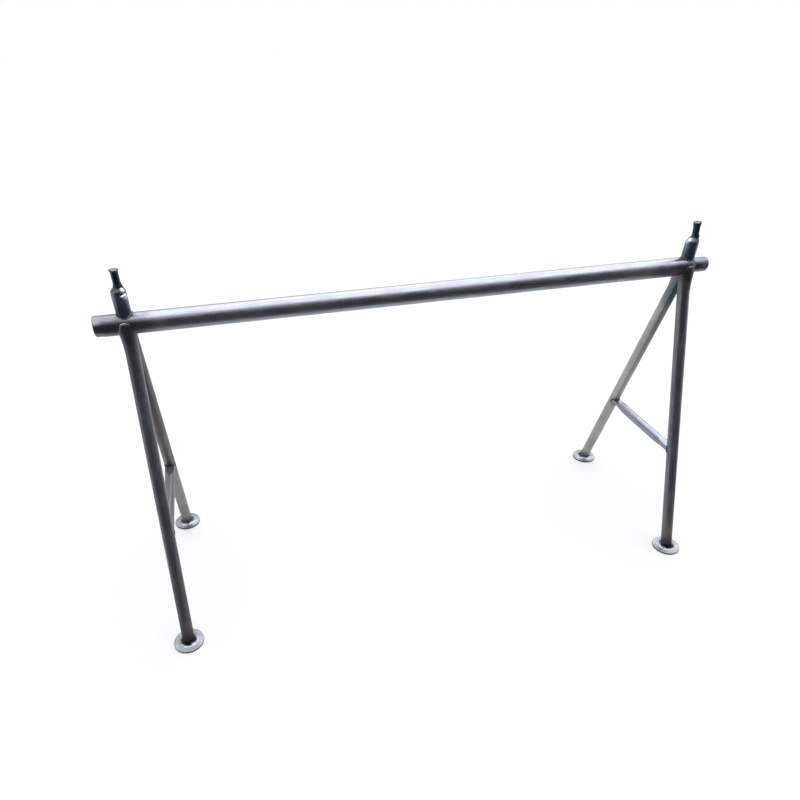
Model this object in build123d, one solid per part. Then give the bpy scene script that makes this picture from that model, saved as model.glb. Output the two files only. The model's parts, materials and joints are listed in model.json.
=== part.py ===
from build123d import *
import os

# Welded tube trestle: a round beam on two A-frames, with a pinned post at each end.
# Millimetres, +Z up. The origin is on the floor, midway between the A-frames.
# +X runs along the beam to its spigot end, and -Y is the front.

# Top beam: open at the left end, swaged down to a spigot at the right end
beam_diameter = 48.3
beam_wall = 3.2
beam_axis_height = 814.0
left_overhang = 70.0
right_overhang = 59.0
spigot_diameter = 38.0
swage_length = 5.0
beam_end_radius = 2.2

# A-frame legs, which meet under the beam at an apex
apex_spacing = 1453.0
foot_outset = 21.5
foot_spread = 520.0
leg_diameter = 32.0
leg_wall = 2.5

# Round plates under the legs
foot_diameter = 82.0
foot_thickness = 6.0
foot_edge_radius = 1.5

# Braces between front and rear legs: round tube with both ends pressed flat
brace_height = 308.0
brace_diameter = 28.0
brace_wall = 2.0
front_flat_height = 14.0
rear_flat_height = 9.0
flat_width = 29.5
flat_rise = 3.0
flat_length = 20.0
flare_length = 42.0
brace_notch = 6.0

# Posts on top of the beam, necked in round their pins
post_diameter = 34.0
post_wall = 2.6
left_shoulder_height = 49.0
right_shoulder_height = 38.0
left_neck_height = 64.0
right_neck_height = 55.0
neck_diameter = 23.0
neck_land = 8.0
crimp_width = 13.0
crimp_height = 3.5
crimp_turn = 40.0
crimp_tilt = 18.0

# Round-bar pins with heads spread by hammering
pin_diameter = 17.0
pin_head_diameter = 22.0
pin_seat_depth = 30.0
left_pin_reach = 35.0
right_pin_reach = 36.0
left_pin_flare = 7.0
right_pin_flare = 19.0
pin_head_edge = 1.2

# Weld beads: how far each spreads, and how far it runs up or down what it joins
leg_weld = 7.9
leg_weld_run = 18.0
post_weld_spread = 4.5
post_weld_run = 8.0
foot_weld = 8.5
foot_weld_run = 8.0
brace_weld = 3.0
brace_weld_run = 7.0
brace_weld_drop = 9.0
pin_weld_height = 4.0
weld_toe = 0.8

# Clearances
joint_gap = 0.3
pin_clearance = 0.2

beam_radius = beam_diameter / 2
leg_radius = leg_diameter / 2
post_radius = post_diameter / 2
neck_radius = neck_diameter / 2
pin_radius = pin_diameter / 2
sides = {"left": -1, "right": 1}
rows = {"front": -1, "rear": 1}
shoulder_heights = {"left": left_shoulder_height, "right": right_shoulder_height}
neck_heights = {"left": left_neck_height, "right": right_neck_height}
pin_reaches = {"left": left_pin_reach, "right": right_pin_reach}
pin_flares = {"left": left_pin_flare, "right": right_pin_flare}
flat_heights = {"front": front_flat_height, "rear": rear_flat_height}
outward = Vector(1, 0, 0)
upward = Vector(0, 0, 1)


def apex(side):
    """Where the beam's axis crosses an A-frame."""
    return Vector(side * apex_spacing / 2, 0, beam_axis_height)


def foot_centre(side, row):
    """Where a leg's axis meets the top of its foot plate."""
    return Vector(side * (apex_spacing / 2 + foot_outset), row * foot_spread / 2, foot_thickness)


def rod(start, end, radius):
    """A solid cylinder from one point to another."""
    run = end - start
    return extrude(Plane(start, z_dir=run) * Circle(radius), run.length)


def turned(place, *outline):
    """A solid turned about a plane's own axis from an outline of (radius, 0, height) curves."""
    return place * revolve(make_face(outline), Axis.Z)


def post_plane(side):
    """A plane across a post, at the beam's axis."""
    return Plane(apex(side))


def leg_plane(side, row):
    """A plane across a leg, at the beam's axis and facing down the leg."""
    return Plane(apex(side), z_dir=foot_centre(side, row) - apex(side))


def flared_end(place, radius, spread, run):
    """A rod grown by a weld's spread at the beam, then curving in to the rod's own size."""
    widest = radius + spread
    toe = radius + weld_toe
    end = beam_radius + run
    return turned(
        place,
        Polyline((0, 0, end), (0, 0, 0), (widest, 0, 0), (widest, 0, beam_radius)),
        Spline((widest, 0, beam_radius), (toe, 0, end), tangents=[-outward, upward]),
        Line((toe, 0, end), (0, 0, end)),
    )


def leg_rod(side, row, radius):
    """A cylinder on a leg's axis, from the beam's axis to a little below the plate's top."""
    run = foot_centre(side, row) - apex(side)
    return rod(apex(side), apex(side) + run + run.normalized() * leg_diameter, radius)


def beam_rod(radius):
    """A cylinder on the beam's axis, longer than the beam."""
    return rod(apex(-2), apex(2), radius)


def post_rod(side, radius):
    """A cylinder on a post's axis, up from the beam's axis."""
    return rod(apex(side), apex(side) + upward * (beam_diameter + post_weld_run), radius)


def above_plates(shape):
    """What is left of a shape above the tops of the foot plates."""
    return split(shape, Plane.XY.offset(foot_thickness), keep=Keep.TOP)


def top_beam():
    """The beam: full size as far as the right post's weld, then a taper and a spigot."""
    full_end = apex_spacing / 2 + post_radius + post_weld_spread + weld_toe
    outside = [
        (-apex_spacing / 2 - left_overhang, beam_radius),
        (full_end, beam_radius),
        (full_end + swage_length, spigot_diameter / 2),
        (apex_spacing / 2 + right_overhang, spigot_diameter / 2),
    ]
    bore = [(x, radius - beam_wall) for x, radius in reversed(outside)]
    outline = Polyline([(x, 0, radius) for x, radius in outside + bore], close=True)
    tube = revolve(make_face(outline), Axis.X)
    left_rims = tube.edges().filter_by(GeomType.CIRCLE).sort_by(Axis.X)[:2]
    return Pos(apex(0)) * fillet(left_rims.sort_by(SortBy.RADIUS)[-1], beam_end_radius)


def leg(side, row):
    """A tube coped to the beam, mitred against its partner and cut flat on its plate."""
    tube = leg_rod(side, row, leg_radius) - leg_rod(side, row, leg_radius - leg_wall)
    tube -= beam_rod(beam_radius + joint_gap)
    mitre = Plane((0, row * joint_gap / 2, 0), z_dir=(0, row, 0))
    return above_plates(split(tube, mitre, keep=Keep.TOP))


def apex_weld(side):
    """The bead round both legs under the beam and down the valley between them."""
    front, rear = [leg_rod(side, row, leg_radius + leg_weld) for row in rows.values()]
    bead = front & rear
    for row in rows.values():
        bead += flared_end(leg_plane(side, row), leg_radius, leg_weld, leg_weld_run)
    for row in rows.values():
        bead -= leg_rod(side, row, leg_radius + joint_gap)
    return bead - beam_rod(beam_radius + joint_gap)


def foot_plate(side, row):
    """A round plate with an eased top edge, flat on the floor."""
    centre = foot_centre(side, row)
    floor_point = Vector(centre.X, centre.Y, 0)
    plate = rod(floor_point, centre, foot_diameter / 2)
    return fillet(plate.edges().sort_by(Axis.Z)[-1], foot_edge_radius)


def foot_weld_bead(side, row):
    """A cone of weld round the foot of a leg, flat on the plate."""
    centre = foot_centre(side, row)
    spread = (foot_weld - weld_toe) / foot_weld_run
    cone = Cone(
        leg_radius + foot_weld + spread * leg_radius,
        leg_radius + weld_toe,
        leg_radius + foot_weld_run,
        align=(Align.CENTER, Align.CENTER, Align.MIN),
    )
    along_leg = (apex(side) - centre).normalized()
    bead = Plane(centre - along_leg * leg_radius, z_dir=along_leg) * cone
    return above_plates(bead) - leg_rod(side, row, leg_radius + joint_gap)


def brace_plane(side, row, station, rise=0):
    """A plane across a brace, at a distance from the leg's near face and facing inwards."""
    run = foot_centre(side, row) - apex(side)
    on_leg = apex(side) + run * ((brace_height - beam_axis_height) / run.Z)
    slanted_radius = leg_radius * run.length / abs(run.Z)
    inset = Vector(0, -row * (slanted_radius + station), rise)
    return Plane(on_leg + inset, x_dir=(1, 0, 0), z_dir=(0, -row, 0))


def pressed_outline(row_name, margin):
    """The outline of a pressed end, grown all round by a margin."""
    return SlotOverall(flat_width + 2 * margin, flat_heights[row_name] + 2 * margin)


def brace_core(side, margin):
    """A brace's outside, grown all over by a margin: round, flaring to its pressed ends."""
    radius = brace_diameter / 2 + margin
    round_station = flat_length + flare_length
    middle = [brace_plane(side, row, round_station).origin for row in rows.values()]
    core = rod(*middle, radius)
    for row_name, row in rows.items():
        flat = pressed_outline(row_name, margin)
        flare = [
            brace_plane(side, row, flat_length, flat_rise) * flat,
            brace_plane(side, row, round_station) * Circle(radius),
        ]
        tip = brace_plane(side, row, -brace_notch, flat_rise) * flat
        core += loft(flare) + extrude(tip, flat_length + brace_notch)
    return core


def brace(side):
    """A hollow brace with its pressed ends notched round the legs."""
    tube = brace_core(side, 0) - brace_core(side, -brace_wall)
    for row in rows.values():
        tube -= leg_rod(side, row, leg_radius + joint_gap)
    return tube


def brace_weld_bead(side, row_name):
    """A tapering collar of weld, heaviest below, where a pressed end meets its leg."""
    row = rows[row_name]
    tip = brace_plane(side, row, -brace_notch, flat_rise)
    low_tip = brace_plane(side, row, -brace_notch, flat_rise - brace_weld_drop)
    toe = brace_plane(side, row, brace_weld_run, flat_rise)
    collar = [
        low_tip * pressed_outline(row_name, brace_weld),
        toe * pressed_outline(row_name, weld_toe),
    ]
    inside = extrude(tip * pressed_outline(row_name, joint_gap), brace_notch + brace_weld_run)
    return loft(collar) - inside - leg_rod(side, row, leg_radius + joint_gap)


def post(side_name):
    """A tube coped on to the beam, its top drawn in to a neck with one open fold."""
    side = sides[side_name]
    shoulder = beam_radius + shoulder_heights[side_name]
    neck = beam_radius + neck_heights[side_name]
    bore = pin_radius + pin_clearance
    inside = post_radius - post_wall
    outside_curve = Spline(
        (post_radius, 0, shoulder), (neck_radius, 0, neck), tangents=[upward, upward]
    )
    inside_curve = Spline(
        (inside, 0, shoulder - post_wall), (bore, 0, neck - neck_land), tangents=[upward, upward]
    )
    tube = turned(
        post_plane(side),
        Line((inside, 0, 0), (post_radius, 0, 0)),
        Line((post_radius, 0, 0), (post_radius, 0, shoulder)),
        outside_curve,
        Line((neck_radius, 0, neck), (bore, 0, neck)),
        Line((bore, 0, neck), (bore, 0, neck - neck_land)),
        inside_curve,
        Line((inside, 0, shoulder - post_wall), (inside, 0, 0)),
    )
    return tube - beam_rod(beam_radius + joint_gap) - open_fold(side_name)


def open_fold(side_name):
    """The slanted slit left in a post's shoulder, on its inner front side."""
    side = sides[side_name]
    heading = 90 * (1 + side) + side * crimp_turn
    slit = Box(post_diameter, crimp_width, crimp_height, align=(Align.MIN, Align.CENTER, Align.MIN))
    fold_foot = apex(side) + upward * (beam_radius + shoulder_heights[side_name])
    return Pos(fold_foot) * Rot(0, 0, heading) * Rot(crimp_tilt, 0, 0) * slit


def post_weld(side):
    """The saddle-shaped bead round the foot of a post."""
    bead = flared_end(post_plane(side), post_radius, post_weld_spread, post_weld_run)
    return bead - beam_rod(beam_radius + joint_gap) - post_rod(side, post_radius + joint_gap)


def pin(side_name):
    """A round bar standing in a post's neck, waisted below a spread head."""
    neck = beam_radius + neck_heights[side_name]
    top = neck + pin_reaches[side_name]
    seat = neck - pin_seat_depth
    head_radius = pin_head_diameter / 2
    flare_start = top - pin_flares[side_name]
    flare = Spline(
        (pin_radius, 0, flare_start), (head_radius, 0, top - pin_head_edge), tangents=[upward, upward]
    )
    return turned(
        post_plane(sides[side_name]),
        Polyline((0, 0, top), (0, 0, seat), (pin_radius, 0, seat), (pin_radius, 0, flare_start)),
        flare,
        Polyline((head_radius, 0, top - pin_head_edge), (head_radius - pin_head_edge, 0, top), (0, 0, top)),
    )


def pin_weld(side_name):
    """A small cone of weld on the neck's rim, round the pin."""
    rim = beam_radius + neck_heights[side_name]
    hole = pin_radius + joint_gap
    outline = Polyline(
        (hole, 0, rim),
        (neck_radius, 0, rim),
        (hole + weld_toe, 0, rim + pin_weld_height),
        (hole, 0, rim + pin_weld_height),
        close=True,
    )
    return turned(post_plane(sides[side_name]), outline)


pieces = {"top_beam": top_beam()}
for side_name, side in sides.items():
    pieces[f"{side_name}_apex_weld"] = apex_weld(side)
    pieces[f"{side_name}_post"] = post(side_name)
    pieces[f"{side_name}_post_weld"] = post_weld(side)
    pieces[f"{side_name}_pin"] = pin(side_name)
    pieces[f"{side_name}_pin_weld"] = pin_weld(side_name)
    pieces[f"{side_name}_brace"] = brace(side)
    for row_name, row in rows.items():
        corner = f"{row_name}_{side_name}"
        pieces[f"{corner}_leg"] = leg(side, row)
        pieces[f"{corner}_foot_plate"] = foot_plate(side, row)
        pieces[f"{corner}_foot_weld"] = foot_weld_bead(side, row)
        pieces[f"{corner}_brace_weld"] = brace_weld_bead(side, row_name)

os.makedirs("parts", exist_ok=True)
for name, piece in pieces.items():
    export_step(piece, f"parts/{name}.step")
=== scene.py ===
import bpy
import json
from math import cos, radians, sin, sqrt
from mathutils import Matrix, Vector


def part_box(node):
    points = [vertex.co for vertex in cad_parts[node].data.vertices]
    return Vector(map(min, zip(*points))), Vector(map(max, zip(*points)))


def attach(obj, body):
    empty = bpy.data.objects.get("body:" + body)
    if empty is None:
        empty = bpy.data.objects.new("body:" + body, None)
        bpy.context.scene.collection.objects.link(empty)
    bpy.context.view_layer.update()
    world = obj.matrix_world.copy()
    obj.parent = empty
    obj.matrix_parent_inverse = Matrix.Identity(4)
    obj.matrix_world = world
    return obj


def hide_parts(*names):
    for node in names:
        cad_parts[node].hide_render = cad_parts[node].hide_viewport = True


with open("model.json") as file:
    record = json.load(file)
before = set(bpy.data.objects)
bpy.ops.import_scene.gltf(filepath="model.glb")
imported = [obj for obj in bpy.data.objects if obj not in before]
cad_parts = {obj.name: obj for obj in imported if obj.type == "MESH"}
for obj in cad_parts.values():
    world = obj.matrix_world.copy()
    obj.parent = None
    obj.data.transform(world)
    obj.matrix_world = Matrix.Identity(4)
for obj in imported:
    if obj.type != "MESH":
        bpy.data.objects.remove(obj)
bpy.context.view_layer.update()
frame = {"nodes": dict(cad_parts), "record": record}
cadNodes = frame["nodes"]
mounts = {mount["name"]: mount for mount in frame["record"]["mounts"]}
print("frame loaded:", len(cadNodes), "nodes")

mm = 0.001
sides = {"left": -1, "right": 1}
rows = {"front": -1, "rear": 1}
corners = [(row, side) for side in sides for row in rows]
upward = Vector((0, 0, 1))


# Where things are, read off the frame

def middle(node):
    low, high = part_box(node)
    return (low + high) / 2


beamLow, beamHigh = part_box("top_beam")
beamRadius = (beamHigh.z - beamLow.z) / 2
beamHeight = middle("top_beam").z
legRadius = 16 * mm
plateLow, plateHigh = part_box("front_left_foot_plate")
footRadius = (plateHigh - plateLow).x / 2
plateTop = plateHigh.z
apexAt = {side: Vector((middle(side + "_pin").x, 0, beamHeight)) for side in sides}
footAt = {}
for row, side in corners:
    plate = middle(f"{row}_{side}_foot_plate")
    footAt[row, side] = Vector((plate.x, plate.y, plateTop))


# Small helpers for working in object and edit mode

meshLimits = {
    "doubles": 0.01 * mm,  # points closer than this are one point
    "slivers": 0.002 * mm,
    "sameRing": 0.1 * mm,  # points this close to a plane lie on it
    "smoothAngle": 35,  # edges sharper than this stay sharp
}


def pickNothing():
    if bpy.context.mode != "OBJECT":
        bpy.ops.object.mode_set(mode="OBJECT")
    bpy.ops.object.select_all(action="DESELECT")


def pickOnly(piece):
    pickNothing()
    piece.select_set(True)
    bpy.context.view_layer.objects.active = piece


def editPoints(piece, wanted):  # leaves the piece in edit mode with only those points picked
    pickOnly(piece)
    bpy.ops.object.mode_set(mode="EDIT")
    bpy.ops.mesh.select_mode(type="VERT")
    bpy.ops.mesh.select_all(action="DESELECT")
    bpy.ops.object.mode_set(mode="OBJECT")
    for point in piece.data.vertices:
        point.select = wanted(point.co)
    bpy.ops.object.mode_set(mode="EDIT")


def editAll(piece):
    pickOnly(piece)
    bpy.ops.object.mode_set(mode="EDIT")
    bpy.ops.mesh.select_all(action="SELECT")


def named(name):  # the primitive just added, with its place moved into its mesh
    piece = bpy.context.object
    piece.name = piece.data.name = name
    bpy.ops.object.transform_apply(location=True, rotation=True, scale=True)
    return piece


def addRod(name, start, end, radius):
    pickNothing()
    run = end - start
    turn = run.to_track_quat("Z", "Y").to_euler()
    bpy.ops.mesh.primitive_cylinder_add(
        vertices=96, radius=radius, depth=run.length, location=(start + end) / 2, rotation=turn
    )
    return named(name)


def useModifier(piece, kind, **values):
    pickOnly(piece)
    step = piece.modifiers.new(kind.lower(), kind)
    for key, value in values.items():
        setattr(step, key, value)
    bpy.ops.object.modifier_apply(modifier=step.name)


def cutAway(piece, cutter, solver="EXACT"):  # MANIFOLD is far quicker on fine closed skins
    useModifier(piece, "BOOLEAN", object=cutter, operation="DIFFERENCE", solver=solver)
    bpy.data.objects.remove(cutter)


def roundEdges(piece, width, steps, angle):  # rounds every edge sharper than the angle
    limit = {"limit_method": "ANGLE", "angle_limit": radians(angle)}
    useModifier(piece, "BEVEL", width=width, segments=steps, **limit)


def trim(piece, place, outwards):  # drops what lies beyond a plane and closes the cut
    editAll(piece)
    bpy.ops.mesh.bisect(plane_co=place, plane_no=outwards, use_fill=True, clear_outer=True)
    bpy.ops.object.mode_set(mode="OBJECT")


def tidyMesh(piece, angle=meshLimits["smoothAngle"]):
    # merges doubles, turns faces outwards and smooths all but the sharp edges
    editAll(piece)
    bpy.ops.mesh.remove_doubles(threshold=meshLimits["doubles"])
    bpy.ops.mesh.normals_make_consistent(inside=False)
    pickOnly(piece)
    bpy.ops.object.shade_smooth_by_angle(angle=radians(angle))


def dropStrays(piece):  # in triangles, without the slivers that cutting leaves on open edges
    editAll(piece)
    bpy.ops.mesh.remove_doubles(threshold=meshLimits["slivers"])
    bpy.ops.mesh.quads_convert_to_tris()
    bpy.ops.mesh.select_mode(type="EDGE")
    bpy.ops.mesh.select_all(action="DESELECT")
    bpy.ops.mesh.select_non_manifold(
        use_wire=False, use_multi_face=False, use_non_contiguous=False, use_verts=False
    )
    bpy.ops.mesh.select_mode(use_expand=True, type="FACE")
    bpy.ops.mesh.delete(type="FACE")
    bpy.ops.mesh.select_mode(type="VERT")
    bpy.ops.object.mode_set(mode="OBJECT")


def turnedBody(name, place, direction, stations, count, capped=True):
    # turns (distance, radius) stations about an axis
    pickNothing()
    firstAlong, firstRadius = stations[0]
    bpy.ops.mesh.primitive_circle_add(vertices=count, radius=firstRadius, location=(0, 0, firstAlong))
    body = named(name)
    editAll(body)
    if capped:
        bpy.ops.mesh.edge_face_add()
    for (lastAlong, lastRadius), (along, radius) in zip(stations, stations[1:]):
        bpy.ops.mesh.extrude_region_move(TRANSFORM_OT_translate={"value": (0, 0, along - lastAlong)})
        grow = radius / lastRadius
        bpy.ops.transform.resize(value=(grow, grow, 1), center_override=(0, 0, along))
    bpy.ops.object.mode_set(mode="OBJECT")
    body.location = place
    body.rotation_euler = Vector(direction).to_track_quat("Z", "Y").to_euler()
    bpy.ops.object.transform_apply(location=True, rotation=True, scale=True)
    return body


def evenSkin(piece, grain, rounds):  # one closed skin of even grain, smoothed
    useModifier(piece, "REMESH", mode="VOXEL", voxel_size=grain)
    useModifier(piece, "SMOOTH", factor=0.5, iterations=rounds)


def nudge(piece, wanted, step, reach):  # moves some points and draws their neighbours after them
    editPoints(piece, wanted)
    bpy.ops.transform.translate(
        value=step, use_proportional_edit=True, proportional_edit_falloff="SMOOTH", proportional_size=reach
    )
    bpy.ops.object.mode_set(mode="OBJECT")


def easing(part):  # 0 to 1 with a soft start and end
    return part * part * (3 - 2 * part)


def finishPiece(piece, node, finish):
    dropStrays(piece)
    piece.data.materials.clear()
    piece.data.materials.append(finish)
    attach(piece, "root")
    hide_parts(node)


def cloudTexture(name, size):
    clouds = bpy.data.textures.new(name, "CLOUDS")
    clouds.noise_scale = size
    clouds.noise_depth = 2
    return clouds


def displace(piece, texture, strength, way="NORMAL"):
    useModifier(
        piece, "DISPLACE", texture=texture, texture_coords="GLOBAL", direction=way, strength=strength
    )


# Shader building blocks

def feed(tree, node, feeds):  # links or sets a node's inputs
    for key, value in feeds.items():
        if isinstance(value, bpy.types.NodeSocket):
            tree.links.new(value, node.inputs[key])
        else:
            node.inputs[key].default_value = value


def addNode(tree, kind, feeds=None, **settings):
    node = tree.nodes.new("ShaderNode" + kind)
    for key, value in settings.items():
        setattr(node, key, value)
    feed(tree, node, feeds or {})
    return node


def calc(tree, operation, first, second):
    return addNode(tree, "Math", {0: first, 1: second}, operation=operation).outputs[0]


def ramp(tree, value, low, high, toLow=0.0, toHigh=1.0):
    feeds = {"Value": value, "From Min": low, "From Max": high, "To Min": toLow, "To Max": toHigh}
    return addNode(tree, "MapRange", feeds, interpolation_type="SMOOTHSTEP").outputs["Result"]


def mixColour(tree, mask, under, over):
    return addNode(tree, "Mix", {0: mask, 6: under, 7: over}, data_type="RGBA").outputs[2]


def noise(tree, vector, scale, detail=3.0, rough=0.55):
    feeds = {"Vector": vector, "Scale": scale, "Detail": detail, "Roughness": rough}
    return addNode(tree, "TexNoise", feeds).outputs["Fac"]


def stretched(tree, vector, across, along):  # squeezes a pattern across and draws it out along local Z
    feeds = {0: vector, 1: (across, across, along)}
    return addNode(tree, "VectorMath", feeds, operation="MULTIPLY").outputs["Vector"]


def axisOf(tree, vector, axis):  # one of a place's three coordinates
    return addNode(tree, "SeparateXYZ", {0: vector}).outputs[axis]


def rgba(colour):
    return (*colour, 1.0)


def newGroup(name, inputs, outputs):
    tree = bpy.data.node_groups.new(name, "ShaderNodeTree")
    for socket, kind, value in inputs:
        made = tree.interface.new_socket(socket, in_out="INPUT", socket_type=kind)
        if value is not None:
            made.default_value = value
    for socket in outputs:
        tree.interface.new_socket(socket, in_out="OUTPUT", socket_type="NodeSocketFloat")
    return tree, tree.nodes.new("NodeGroupInput").outputs, tree.nodes.new("NodeGroupOutput").inputs


# Patterns of the shared groups: the noise's scale, detail and roughness, and the range drawn out of it
grainPattern = {
    "streak": ((1.0, 3.0, 0.6), (0.34, 0.66)),
    "patch": ((16.0, 4.0, 0.6), (0.36, 0.66)),
    "scratch": ((1.0, 2.0, 0.5), (0.52, 0.72)),
    "speck": ((420.0, 2.0, 0.6), (0.55, 0.75)),
    # spread across and along the tube
    "streakSpread": (1.0, 0.02),
    "scratchSpread": (900.0, 22.0),
}
spotPattern = {"edge": (55.0, 3.0, 0.6), "ragged": 0.7, "range": (1.0, 0.35)}
dustPattern = {"edge": (30.0, 4.0, 0.65), "ragged": 0.8, "range": (1.3, 0.4)}


def drawnGrain():  # lengthwise drawing marks, cloudy patches and fine scratches of drawn tube
    tree, given, out = newGroup(
        "drawnGrain",
        [("Vector", "NodeSocketVector", None), ("Streaks", "NodeSocketFloat", 130.0)],
        ["Streak", "Patch", "Scratch", "Speck"],
    )
    place = given["Vector"]
    spread = addNode(tree, "VectorMath", {0: place, "Scale": given["Streaks"]}, operation="SCALE")
    places = {
        "streak": stretched(tree, spread.outputs["Vector"], *grainPattern["streakSpread"]),
        "patch": place,
        "scratch": stretched(tree, place, *grainPattern["scratchSpread"]),
        "speck": place,
    }
    for mark, vector in places.items():
        cloud, drawn = grainPattern[mark]
        tree.links.new(ramp(tree, noise(tree, vector, *cloud), *drawn), out[mark.title()])
    return tree


def raggedSpot():  # a round mark with a ragged edge, for weld heat, tints, painted shade and painted highlights
    tree, given, out = newGroup(
        "raggedSpot",
        [
            ("Vector", "NodeSocketVector", None),
            ("Spot", "NodeSocketVector", (0.0, 0.0, 0.0)),
            ("Reach", "NodeSocketFloat", 0.06),
        ],
        ["Mask"],
    )
    away = addNode(tree, "VectorMath", {0: given["Vector"], 1: given["Spot"]}, operation="DISTANCE")
    share = calc(tree, "DIVIDE", away.outputs["Value"], given["Reach"])
    level = spotPattern["ragged"]
    ragged = calc(tree, "MULTIPLY", noise(tree, given["Vector"], *spotPattern["edge"]), level)
    edge = calc(tree, "ADD", share, calc(tree, "SUBTRACT", ragged, level / 2))
    tree.links.new(ramp(tree, edge, *spotPattern["range"]), out["Mask"])
    return tree


def yardDust():  # brown dirt that thickens towards the floor
    tree, given, out = newGroup(
        "yardDust",
        [("Vector", "NodeSocketVector", None), ("Reach", "NodeSocketFloat", 0.3)],
        ["Dust"],
    )
    share = calc(tree, "DIVIDE", axisOf(tree, given["Vector"], "Z"), given["Reach"])
    ragged = noise(tree, given["Vector"], *dustPattern["edge"])
    edge = calc(tree, "ADD", share, calc(tree, "MULTIPLY", ragged, dustPattern["ragged"]))
    tree.links.new(ramp(tree, edge, *dustPattern["range"]), out["Dust"])
    return tree


grainGroup, spotGroup, dustGroup = drawnGrain(), raggedSpot(), yardDust()


def useGroup(tree, group, feeds):
    return addNode(tree, "Group", feeds, node_tree=group).outputs


def spotMask(tree, place, spot, reach):
    return useGroup(tree, spotGroup, {"Vector": place, "Spot": spot, "Reach": reach})["Mask"]


def newFinish(name):
    finish = bpy.data.materials.new(name)
    finish.use_nodes = True
    tree = finish.node_tree
    tree.nodes.clear()
    shader = addNode(tree, "BsdfPrincipled")
    addNode(tree, "OutputMaterial", {"Surface": shader.outputs["BSDF"]})
    place = addNode(tree, "TexCoord").outputs["Object"]
    return finish, tree, shader, place


def addBump(tree, shader, height, strength, depth):
    bump = addNode(tree, "Bump", {"Height": height, "Strength": strength, "Distance": depth})
    feed(tree, shader, {"Normal": bump.outputs["Normal"]})


def alongTube(tree, place, start, end):  # coordinates with Z running along a tube
    turn = (end - start).to_track_quat("Z", "Y").to_euler()
    feeds = {"Vector": place, "Location": start, "Rotation": turn}
    return addNode(tree, "Mapping", feeds, vector_type="TEXTURE").outputs["Vector"]


def toned(look, level):  # the same look, darker or lighter
    colours = {key: value for key, value in look.items() if isinstance(value, tuple)}
    return {**look, **{key: tuple(level * part for part in value) for key, value in colours.items()}}


steelRelief = {"speck": 0.6, "strength": 0.12, "depth": 0.2 * mm, "dustRoughness": 0.25}


def drawnSteel(name, look, start, end, marks):  # marks have a spot, a reach and perhaps their own colour
    finish, tree, shader, place = newFinish(name)
    local = alongTube(tree, place, start, end)
    grain = useGroup(tree, grainGroup, {"Vector": local, "Streaks": look["streaks"]})
    colour = mixColour(tree, grain["Streak"], rgba(look["dark"]), rgba(look["light"]))
    patch = calc(tree, "MULTIPLY", grain["Patch"], look["patchy"])
    colour = mixColour(tree, patch, colour, rgba(look["patch"]))
    scratch = calc(tree, "MULTIPLY", grain["Scratch"], look["scratched"])
    colour = mixColour(tree, scratch, colour, rgba(look["bright"]))
    rough = ramp(tree, grain["Patch"], 0.0, 1.0, look["smooth"], look["rough"])
    if look.get("dusty"):
        dust = useGroup(tree, dustGroup, {"Vector": place, "Reach": look["dustReach"]})["Dust"]
        dust = calc(tree, "MULTIPLY", dust, look["dusty"])
        colour = mixColour(tree, dust, colour, rgba(look["dust"]))
        rough = calc(tree, "ADD", rough, calc(tree, "MULTIPLY", dust, steelRelief["dustRoughness"]))
    # dark marks: weld heat tint, and painted shade where a mark stands for it
    for spot, reach, *own in marks:
        mask = calc(tree, "MULTIPLY", spotMask(tree, place, spot, reach), look["burnt"])
        colour = mixColour(tree, mask, colour, rgba(own[0] if own else look["burn"]))
    feed(tree, shader, {"Base Color": colour, "Roughness": rough, "Metallic": look["metal"]})
    speck = calc(tree, "MULTIPLY", grain["Speck"], steelRelief["speck"])
    relief = calc(tree, "ADD", grain["Scratch"], speck)
    addBump(tree, shader, relief, steelRelief["strength"], steelRelief["depth"])
    return finish


def objectPlace(finish):  # the Object coordinates in a finish that is made
    return finish.node_tree.nodes["Texture Coordinate"].outputs["Object"]


def overpaint(finish, mask, colour):  # lays a colour over what the finish has so far
    tree = finish.node_tree
    base = tree.nodes["Principled BSDF"].inputs["Base Color"]
    tree.links.new(mixColour(tree, mask, base.links[0].from_socket, rgba(colour)), base)


# Top beam

beamLook = {
    "dark": (0.215, 0.222, 0.258),
    "light": (0.275, 0.286, 0.333),
    "patch": (0.24, 0.243, 0.272),
    "bright": (0.42, 0.44, 0.47),
    "burn": (0.085, 0.085, 0.095),
    # dark marks round each post, partly weld heat tint and partly painted shade on the beam's front: along
    # the beam from it, up from the axis, reach and perhaps a colour
    "marks": {
        "left": [(0, -10, 0.075), (-60, 0, 0.11)],
        "right": [
            (0, -10, 0.042),
            (60, 0, 0.12, (0.045, 0.065, 0.095)),
            (-80, -20, 0.05),
            (-32, -22, 0.05),
            (15, -10, 0.035),
        ],
    },
    "patchy": 0.4,
    "burnt": 0.65,
    "streaks": 90.0,
    "scratched": 0.2,
    "smooth": 0.27,
    "rough": 0.40,
    "metal": 0.92,
}
beamShape = {
    "segments": 96,
    "wall": 3.2 * mm,
    "swage": 18 * mm,  # length of the taper down to the spigot
    "swageRings": 8,
    "swageBack": 8 * mm,  # how much nearer the post it sits
    "rim": 0.7 * mm,
    "rimAngle": 40,
    "endRound": 2.2 * mm,
    "endSteps": 5,
    "endRings": 10,
    "endZone": 30 * mm,
    # knocks on the left end: distance in, degrees up from the front, depth and size
    "knocks": [(8 * mm, 58, 1.2 * mm, 12 * mm), (0, -62, 1.5 * mm, 26 * mm)],
    "knockCore": 5 * mm,
    "spigotRound": 1.4 * mm,
    "spigotSteps": 4,
}
spigotRadius = mounts["spigot"]["dims"]["r_mm"] * mm
spigotLength = mounts["spigot"]["dims"]["length_mm"] * mm
swageEnd = beamHigh.x - spigotLength - beamShape["swageBack"]
swageStart = swageEnd - beamShape["swage"]
leftEnd = Vector((beamLow.x, 0, beamHeight))


def radiusAt(place):  # the beam's radius at a place along it
    part = min(1, max(0, (place - swageStart) / beamShape["swage"]))
    return beamRadius + (spigotRadius - beamRadius) * easing(part)


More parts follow.
